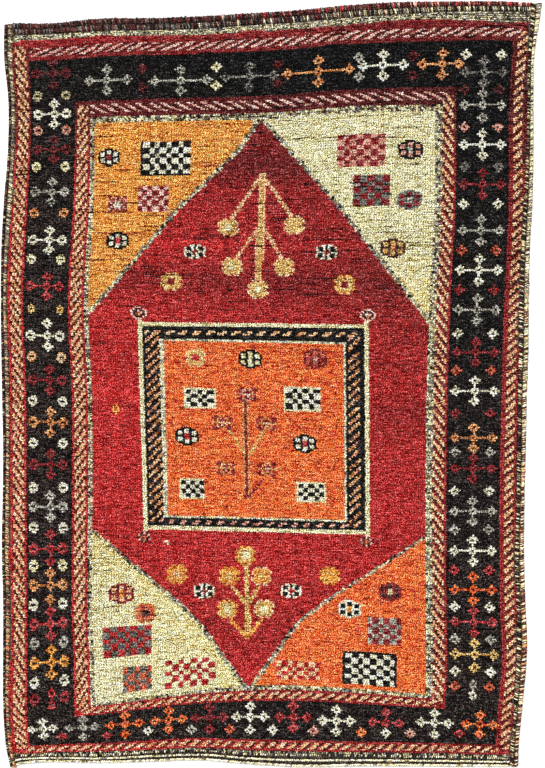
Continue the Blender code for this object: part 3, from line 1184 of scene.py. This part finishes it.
pile = [knots(name, inside) for name, inside in PILE_PIECES.items()]
print(sum(len(piece.data.polygons) for piece in pile), "faces in", len(pile), "pieces of pile")

# %% [markdown]
# ## The ground
#
# Under the pile is a woven ground of warps and wefts about 3 mm thick. It is
# one thin sheet cut to the rug's outline. Its ribs show on the back, and every
# other piece stands on it.

# %% Ground sheet
GROUND_INSET = 0.002
DARK_RIB, LIGHT_RIB = (0.030, 0.022, 0.016, 1), (0.085, 0.066, 0.048, 1)

shape = bmesh.new()
bmesh.ops.create_grid(shape, x_segments=48, y_segments=68, size=0.5)
u = np.array([vert.co.x for vert in shape.verts]) + 0.5
v = np.array([vert.co.y for vert in shape.verts]) + 0.5
ground_x, ground_y = between(u, v, "left_outer", "right_outer", "bottom_outer", "top_outer")
ground_x -= np.sign(u - 0.5) * GROUND_INSET * (np.abs(u - 0.5) > 0.499)
ground_y -= np.sign(v - 0.5) * GROUND_INSET * (np.abs(v - 0.5) > 0.499)
for vert, x, y in zip(shape.verts, ground_x, ground_y):
    vert.co = (x, y, 0.0)
raised = bmesh.ops.extrude_face_region(shape, geom=shape.faces[:])
top_verts = [item for item in raised["geom"] if isinstance(item, bmesh.types.BMVert)]
bmesh.ops.translate(shape, verts=top_verts, vec=(0, 0, GROUND_TOP))
bmesh.ops.recalc_face_normals(shape, faces=shape.faces)
ground = new_object("ground_weave", mesh_from(shape, "ground_weave"))

look = Look("ground_weave", roughness=WOOL_ROUGHNESS)
place = look.node("ShaderNodeTexCoord", output="Object")
ribs = look.node(
    "ShaderNodeTexWave", {"bands_direction": "X"},
    {"Vector": place, "Scale": 60.0, "Distortion": 2.0, "Detail": 1.0}, "Fac",
)
mixed = look.node(
    "ShaderNodeMix", {"data_type": "RGBA"},
    {"Factor": ribs, 6: DARK_RIB, 7: LIGHT_RIB}, 2,
)
look.feed("Base Color", mixed)
ground.data.materials.append(look.material)
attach(ground, "root")
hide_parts("knotted_pile")
print("ground sheet", [round(float(np.ptp(side)), 3) for side in (ground_x, ground_y)], "m")

# %% [markdown]
# ## Overcast sides
#
# The last few warps on each side are bundled and wrapped round and round with
# yarn, so the side is a thick double cord. Each wrap is half a ring that arches
# over the cord. It is made by spinning a small circle half a turn, and is then
# laid along the side, turned to follow it.

# %% One wrap, and the two sides
shape = bmesh.new()
ring = bmesh.ops.create_circle(shape, segments=4, radius=0.25)
bmesh.ops.translate(shape, verts=ring["verts"], vec=(0.78, 0, 0))
bmesh.ops.spin(
    shape, geom=shape.verts[:] + shape.edges[:], cent=(0, 0, 0), axis=(0, -1, 0),
    angle=math.pi, steps=5, use_duplicate=False,
)
bmesh.ops.remove_doubles(shape, verts=shape.verts, dist=0.0001)
bmesh.ops.recalc_face_normals(shape, faces=shape.faces)
wrap = new_object("wrap_unit", mesh_from(shape, "wrap_unit"))

YARN_PITCH = 0.0024
SIDE_HEIGHT = 0.0088
YARN_SHADE, YARN_SCATTER = 0.8, 0.20
WRAP_LENGTH = 2.3  # thickness of a wrap, in pitches, so that wraps overlap
WIDE_SCATTER, LONG_SCATTER, TALL_SCATTER, WRAP_TURN = 0.05, 0.14, 0.06, 0.12
SIDE_OVERLAP = 1.12  # width of the wraps, in widths of their cord


def yarn_colours(names, odds, count):
    """A wool for each wrap, with some scatter."""
    odds = np.array(odds, float)
    drawn = dice.choice(len(names), size=count + 1, p=odds / odds.sum())[:count]
    colour = np.array([linear(WOOLS[name]) for name in names])[drawn]
    return YARN_SHADE * colour * np.exp(dice.normal(0.0, YARN_SCATTER, (count, 1)))


def wrapped_cord(x, y, half_width, tall, angle, colour, lean=0.14):
    """Places, turns, sizes and colours of the wraps along one cord."""
    count = len(x)
    turn = np.c_[np.zeros((count, 2)), angle + lean + dice.normal(0, WRAP_TURN, count)]
    grow = np.c_[
        half_width * (1 + dice.normal(0, WIDE_SCATTER, count)),
        WRAP_LENGTH * YARN_PITCH * (1 + dice.normal(0, LONG_SCATTER, count)),
        tall * (1 + dice.normal(0, TALL_SCATTER, count)),
    ]
    return np.c_[x, y, np.zeros(count)], turn, grow, colour


def gathered(name, unit, parts, node):
    """Joins the wraps or stitches of several cords in one piece."""
    piece = stand(name, unit, YARN_LOOK, *(np.concatenate(item) for item in zip(*parts)))
    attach(piece, "root")
    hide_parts(node)
    return piece


def side_cord(side, low, high, palette, lean):
    """Wraps along a part of a side, between two shares of its width."""
    outer, inner = side + "_outer", side + "_inner"
    start, end = end_y("bottom_outer", side_x(outer, -0.85)), end_y("top_outer", side_x(outer, 0.83))
    y = np.arange(start + 0.003, end - 0.002, YARN_PITCH)
    a, b = side_x(outer, y), side_x(inner, y)
    x = a + (b - a) * (low + high) / 2
    half = np.abs(b - a) * (high - low) / 2 * SIDE_OVERLAP
    angle = -np.arctan(np.gradient(x, y))
    return wrapped_cord(x, y, half, SIDE_HEIGHT, angle, palette(y), lean)


def steady(names, odds):
    """A palette that stays the same down a cord."""
    return lambda y: yarn_colours(names, odds, len(y))


def changing(upper_mix, lower_mix, start, length):
    """A palette that goes over from one mix to another down a cord."""

    def palette(y):
        upper_part = yarn_colours(*upper_mix, len(y))
        lower_part = yarn_colours(*lower_mix, len(y))
        use_lower = dice.random(len(y)) < np.clip((start - y) / length, 0, 1)
        return np.where(use_lower[:, None], lower_part, upper_part)

    return palette


SIDE_CORDS = {
    # where the inner cord starts, as a share of the side, then both palettes
    "left": (
        0.40,
        steady(("black", "brown", "umber", "olive"), (40, 26, 16, 18)),
        changing(
            (("olive", "ash", "brown", "cream"), (40, 20, 28, 12)),
            (("tan", "olive", "brown", "rust"), (20, 32, 42, 6)), 0.35, 0.7,
        ),
    ),
    "right": (
        0.50,
        changing(
            (("cream", "olive", "grey", "brown"), (38, 28, 12, 22)),
            (("cream", "tan", "umber", "brown"), (26, 18, 22, 34)), 0.45, 0.9,
        ),
        steady(("cream", "black", "olive", "brown", "umber"), (12, 40, 18, 18, 12)),
    ),
}
edges = [
    gathered(
        "overcast_" + side, wrap,
        [side_cord(side, 0.02, share, outer, 0.35), side_cord(side, share, 1.00, inner, -0.35)],
        "selvedge_" + side,
    )
    for side, (share, outer, inner) in SIDE_CORDS.items()
]
print(sum(len(piece.data.polygons) for piece in edges), "faces on the two sides")

# %% [markdown]
# ## Woven ends
#
# At the upper end a narrow band of twined wefts is followed by a heavy whipped
# edge of dark yarn, with reddish tips. At the lower end twined cream ropes run
# between dark chained lines. A twined row is a chain of short slanting
# stitches, so one stitch is modelled, a stretched ball, and laid in rows.

# %% Whipped edge, and twined bands
shape = bmesh.new()
bmesh.ops.create_uvsphere(shape, u_segments=6, v_segments=4, radius=0.5)
stitch = new_object("stitch_unit", mesh_from(shape, "stitch_unit"))


END_SAMPLES = 1200
WHIP_OVERLAP, WHIP_SCATTER = 1.1, 0.06
WHIP_CHANGE, WHIP_START = 1.6, 0.5  # how the right-hand wools take over along the edge
STITCH_HEIGHT, STITCH_SCATTER, STITCH_DRIFT = 0.0030, 0.08, 0.0003


def end_line(bottom, top, share, pitch):
    """Even places along an end, at a share of the height between two lines."""
    u = np.linspace(0, 1, END_SAMPLES)
    x, y = between(u, np.full(u.shape, share), "left_inner", "right_inner", bottom, top)
    run = np.concatenate(([0], np.cumsum(np.hypot(np.diff(x), np.diff(y)))))
    at = np.arange(pitch / 2, run[-1] - pitch / 4, pitch)
    angle = np.arctan2(np.gradient(y, run), np.gradient(x, run))
    return np.interp(at, run, x), np.interp(at, run, y), np.interp(at, run, angle), at / run[-1]


def whipping(low, high, names_left, names_right, odds, tall):
    """Upright wraps along a part of the whipped edge, between two shares of it."""
    x, y, angle, along = end_line("top_band", "top_outer", (low + high) / 2, YARN_PITCH)
    half = (end_y("top_outer", x) - end_y("top_band", x)) * (high - low) / 2 * WHIP_OVERLAP
    half = half * (1 + dice.normal(0, WHIP_SCATTER, len(x)))
    left_part = yarn_colours(names_left, odds, len(x))
    right_part = yarn_colours(names_right, odds, len(x))
    use_right = dice.random(len(x)) < np.clip(along * WHIP_CHANGE - WHIP_START, 0, 1)
    colour = np.where(use_right[:, None], right_part, left_part)
    return wrapped_cord(x, y, half, tall, angle + math.pi / 2, colour)


def twined_row(bottom, top, share, names, odds, slant, long, thick, pitch, height):
    """One row of slanting stitches between two end lines."""
    x, y, angle, _ = end_line(bottom, top, share, pitch)
    count = len(x)
    turn = np.c_[np.zeros((count, 2)), angle + slant + dice.normal(0, WRAP_TURN, count)]
    grow = np.c_[
        long * (1 + dice.normal(0, STITCH_SCATTER, count)),
        thick * (1 + dice.normal(0, STITCH_SCATTER, count)),
        np.full(count, STITCH_HEIGHT),
    ]
    place = np.c_[x, y + dice.normal(0, STITCH_DRIFT, count), np.full(count, height)]
    return place, turn, grow, yarn_colours(names, odds, count)


WHIPPING = (
    # from and to, as shares of the edge, wools at the left and at the right, odds, height
    (0.00, 0.52, ("black", "ash", "umber", "brown"), ("black", "olive", "cream", "ash"),
     (32, 24, 20, 24), 0.0085),
    (0.46, 1.00, ("umber", "black", "brown", "ash"), ("umber", "brown", "rose", "pink"),
     (36, 30, 22, 12), 0.0092),
)
TOP_WOOLS = ("cream", "grey", "olive", "ash", "black")
TOP_STITCH = (0.0062, 0.0030, 0.0042, 0.0040)  # length, thickness, pitch and height
TOP_ROWS = (
    # share of the band, slant, odds of the wools
    (0.08, 0.5, (26, 20, 24, 20, 10)),
    (0.27, -0.5, (18, 18, 24, 22, 18)),
    (0.46, 0.5, (34, 20, 24, 14, 8)),
    (0.65, -0.5, (18, 18, 24, 20, 20)),
    (0.86, 0.5, (28, 18, 26, 18, 10)),
)
BOTTOM_PITCH = 0.0048
BOTTOM_ROWS = (
    # share of the band, wools and their odds, slant, length, thickness, height
    (0.93, ("ash", "cream", "black", "olive"), (26, 26, 26, 22), 1.45, 0.0075, 0.0036, 0.0040),
    (0.76, ("cream", "grey", "black", "olive"), (30, 22, 26, 22), 1.30, 0.0070, 0.0036, 0.0042),
    (0.60, ("black", "charcoal", "brown"), (60, 25, 15), 0.25, 0.0070, 0.0038, 0.0046),
    (0.44, ("cream", "white", "olive", "grey"), (52, 22, 14, 12), 0.45, 0.0075, 0.0046, 0.0046),
    (0.28, ("black", "charcoal", "brown"), (62, 24, 14), 0.20, 0.0070, 0.0038, 0.0048),
    (0.11, ("cream", "white", "olive", "grey"), (54, 22, 14, 10), 0.50, 0.0080, 0.0050, 0.0048),
)

whipped_parts = [whipping(*part) for part in WHIPPING]
edges.append(gathered("whipped_edge", wrap, whipped_parts, "whipped_edge_top"))
top_rows = [
    twined_row("top_pile", "top_band", share, TOP_WOOLS, odds, slant, *TOP_STITCH)
    for share, slant, odds in TOP_ROWS
]
edges.append(gathered("twined_band_top", stitch, top_rows, "flatweave_top"))
bottom_rows = [
    twined_row("bottom_outer", "bottom_pile", *row, BOTTOM_PITCH, height)
    for *row, height in BOTTOM_ROWS
]
edges.append(
    gathered("twined_band_bottom", stitch, bottom_rows, "flatweave_bottom")
)
for unit in (tuft, wrap, stitch):
    bpy.data.objects.remove(unit, do_unlink=True)

print(sum(len(piece.data.polygons) for piece in edges), "faces on the sides and ends")

# %% [markdown]
# ## Floor, camera and light
#
# The rug is seen from straight above on a plain white floor. A long lens high
# over its middle keeps the sides straight. A soft sun and an even sky light it
# like a studio with large lamps.

# %% Stage
PICTURE = (545, 768)  # size of the picture, in pixels
LENS, SENSOR = 100.0, 36.0
LOOK_AT = (0.0022, 0.0011, 0.009)  # the picture's middle, on the pile
FLOOR_SIZE, FLOOR_DROP, FLOOR_GREY = 8.0, 0.0004, 0.83
SUN_STRENGTH, SUN_WIDTH, SUN_TILT = 4.05, 35, (-38, -24)
SKY_STRENGTH = 1.09

shape = bmesh.new()
bmesh.ops.create_grid(shape, x_segments=1, y_segments=1, size=FLOOR_SIZE)
bmesh.ops.translate(shape, verts=shape.verts, vec=(0, 0, -FLOOR_DROP))
floor = new_object("floor", mesh_from(shape, "floor"))
floor_colour = (FLOOR_GREY, FLOOR_GREY, FLOOR_GREY, 1.0)
floor_look = Look("pale_floor", base_color=floor_colour, roughness=0.9)
floor.data.materials.append(floor_look.material)

camera_data = bpy.data.cameras.new("camera")
camera_data.lens = LENS
camera_data.sensor_fit = "VERTICAL"
camera_data.sensor_height = SENSOR
camera_data.clip_end = 50.0
camera = new_object("camera", camera_data)
camera.location = (*LOOK_AT[:2], LOOK_AT[2] + PICTURE[1] * SCALE * LENS / SENSOR)
bpy.context.scene.camera = camera

sun_data = bpy.data.lights.new("soft_sun", "SUN")
sun_data.energy = SUN_STRENGTH
sun_data.angle = math.radians(SUN_WIDTH)
sun = new_object("soft_sun", sun_data)
sun.rotation_euler = (*(math.radians(angle) for angle in SUN_TILT), 0)

world = bpy.data.worlds.new("soft_sky")
world.use_nodes = True
sky = world.node_tree.nodes["Background"]
sky.inputs["Color"].default_value = (1, 1, 1, 1)
sky.inputs["Strength"].default_value = SKY_STRENGTH
bpy.context.scene.world = world
bpy.context.scene.view_settings.view_transform = "Standard"
print("camera at", [round(value, 3) for value in camera.location])
